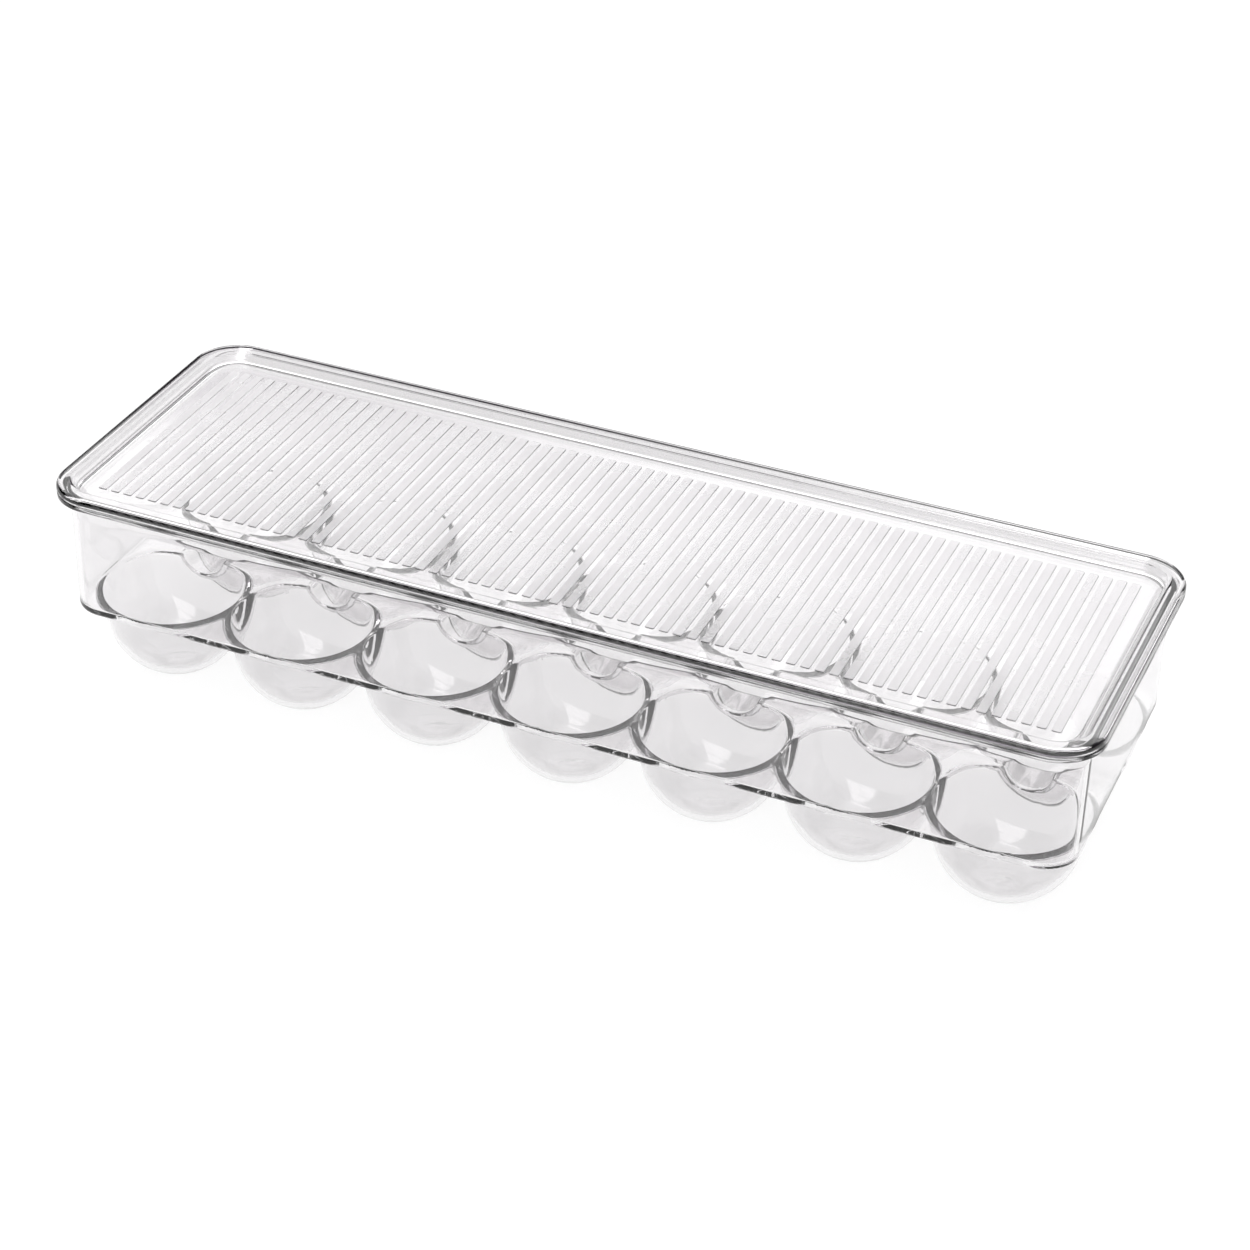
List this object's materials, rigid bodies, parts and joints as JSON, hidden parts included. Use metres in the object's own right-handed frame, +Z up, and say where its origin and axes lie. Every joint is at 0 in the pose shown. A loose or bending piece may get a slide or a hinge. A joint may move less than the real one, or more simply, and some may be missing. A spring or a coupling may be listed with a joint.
{
  "type": "covered egg holder",
  "caption": "Low clear-plastic refrigerator egg holder: a tray with two rows of hanging round cups under straight walls, and a loose lid with a raised stacking rim and a barred panel.",
  "frame": {"origin": "centre of the footprint on the surface that the cup feet stand on", "axes": "+X along the two rows of cups, front at -Y, +Z up through the lid"},
  "size_m": [0.362, 0.12, 0.078],
  "materials": {
    "clear_plastic": "clear water-white styrene, polished",
    "frosted_bars": "finely frosted raised bars of the lid panel"
  },
  "bodies": {
    "tray": {"tray": "clear_plastic"},
    "lid": {"lid": "clear_plastic"}
  },
  "joints": [
    {"name": "lid_lift", "type": "slide", "parent": "tray", "child": "lid", "axis": [0, 0, 1], "range_m": [0, 0.1]}
  ]
}
